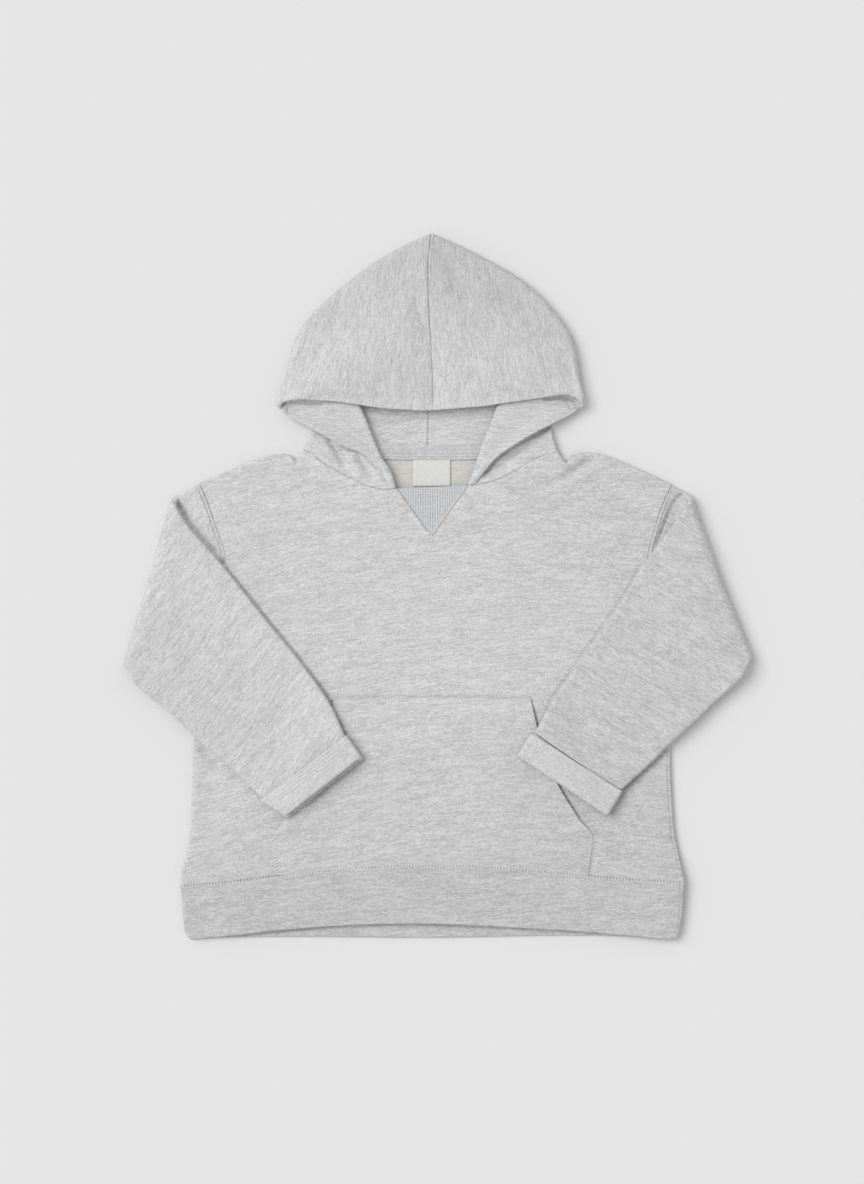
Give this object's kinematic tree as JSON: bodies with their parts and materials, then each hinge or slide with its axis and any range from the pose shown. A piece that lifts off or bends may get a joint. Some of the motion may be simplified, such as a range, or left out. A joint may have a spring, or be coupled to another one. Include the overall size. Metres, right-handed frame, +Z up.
{
  "type": "toddler hoodie",
  "caption": "Toddler's grey fleece pull-on hoodie laid flat, with a kangaroo pocket and a V gusset, both sleeves folded in over the front and the hood folded forward.",
  "frame": {"origin": "bottom centre of the whole garment's box, on the surface it lies on", "axes": "+Z up out of the front, +Y from the hem to the hood, +X to the right of the picture"},
  "size_m": [0.4894, 0.5521, 0.0206],
  "materials": {
    "fleece": "brushed melange knit",
    "rib": "fine rib knit",
    "label": "plain woven tape"
  },
  "bodies": {
    "root": {"body_front": "fleece", "body_back": "fleece", "hem_band_front": "fleece", "hem_band_back": "fleece", "pocket": "fleece", "neck_gusset": "rib", "neck_tape": "fleece", "neck_label": "label", "sleeve_left": "fleece", "sleeve_right": "fleece", "cuff_left": "fleece", "cuff_right": "fleece", "hood_left": "fleece", "hood_right": "fleece"}
  },
  "joints": []
}
